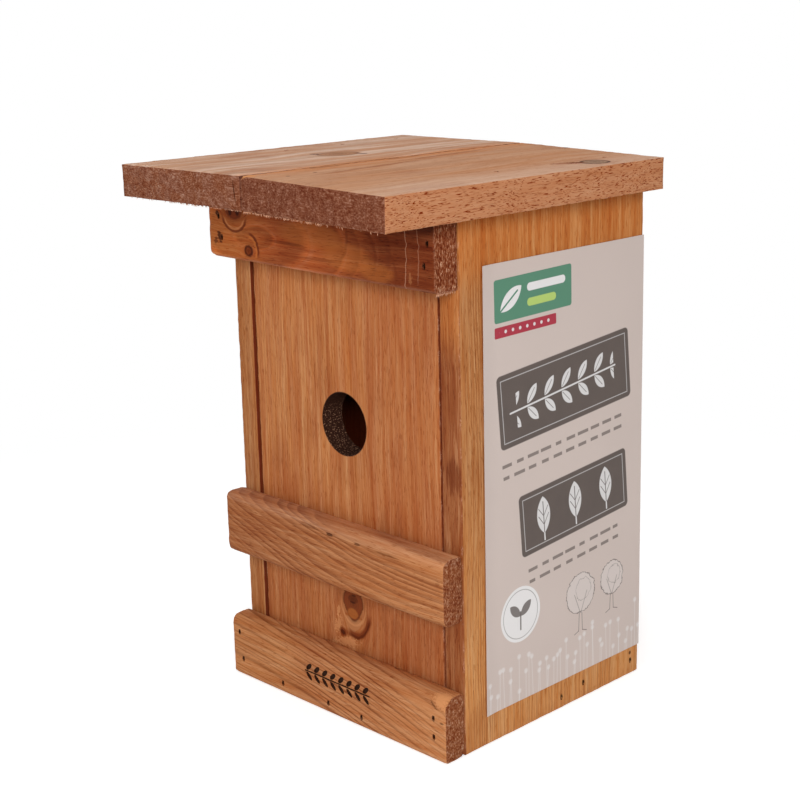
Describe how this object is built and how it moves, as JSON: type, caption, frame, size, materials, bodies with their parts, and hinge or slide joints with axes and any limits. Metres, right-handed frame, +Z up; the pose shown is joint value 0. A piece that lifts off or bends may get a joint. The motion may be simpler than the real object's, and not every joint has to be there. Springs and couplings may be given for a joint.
{
  "type": "bird nest box",
  "caption": "Small nailed wooden nest box with a round entrance, an overhanging flat roof, three front battens and a front panel that lifts out.",
  "frame": {"origin": "on the ground, under the middle of the box's overall outline seen from above", "axes": "+Z up, the front with the entrance looks along -Y, +X to the right as seen from the front"},
  "size_m": [0.1638, 0.1692, 0.2446],
  "materials": {
    "side_board": "honey-brown stained softwood, fine upright grain, matt",
    "inner_board": "honey-brown stained softwood, matt",
    "front_board": "honey-brown stained softwood with a knot, fine upright grain, matt",
    "top_batten": "dark reddish-brown stained softwood with knots, matt",
    "batten": "planed and rounded softwood, slanting grain, red-brown stain",
    "roof_board": "rough-sawn softwood, pale pinkish brown on top, dark end grain",
    "label_paper": null,
    "plated_steel": "zinc-plated steel, dull",
    "brad_wire": "bare steel wire, darkened"
  },
  "bodies": {
    "box": {"side_left": "side_board", "side_right": "side_board", "back_panel": "inner_board", "floor_board": "inner_board", "top_batten": "top_batten", "bottom_batten": "batten", "roof_board_left": "roof_board", "roof_board_right": "roof_board", "side_label": "label_paper", "keyhole_hanger": "plated_steel", "hanger_screw_1": "plated_steel", "hanger_screw_2": "plated_steel", "brad_top_batten_left_1": "brad_wire", "brad_top_batten_left_2": "brad_wire", "brad_top_batten_right_1": "brad_wire", "brad_top_batten_right_2": "brad_wire", "brad_bottom_batten_left_1": "brad_wire", "brad_bottom_batten_left_2": "brad_wire", "brad_bottom_batten_right_1": "brad_wire", "brad_bottom_batten_right_2": "brad_wire", "brad_bottom_batten_floor_1": "brad_wire", "brad_bottom_batten_floor_2": "brad_wire", "brad_bottom_batten_floor_3": "brad_wire", "brad_side_left_floor_1": "brad_wire", "brad_side_left_floor_2": "brad_wire", "brad_side_right_floor_1": "brad_wire", "brad_side_right_floor_2": "brad_wire", "brad_side_left_back_1": "brad_wire", "brad_side_left_back_2": "brad_wire", "brad_side_left_back_3": "brad_wire", "brad_side_right_back_1": "brad_wire", "brad_side_right_back_2": "brad_wire", "brad_side_right_back_3": "brad_wire", "brad_roof_left_1": "brad_wire", "brad_roof_left_2": "brad_wire", "brad_roof_left_3": "brad_wire", "brad_roof_left_back": "brad_wire", "brad_roof_right_1": "brad_wire", "brad_roof_right_2": "brad_wire", "brad_roof_right_3": "brad_wire", "brad_roof_right_back": "brad_wire"},
    "door": {"door_panel": "front_board", "middle_batten": "batten", "brad_middle_batten_1": "brad_wire", "brad_middle_batten_2": "brad_wire", "brad_middle_batten_3": "brad_wire"}
  },
  "joints": [
    {"name": "door_lift", "type": "slide", "parent": "box", "child": "door", "axis": [0, 0, 1], "range_m": [0, 0.018]}
  ]
}
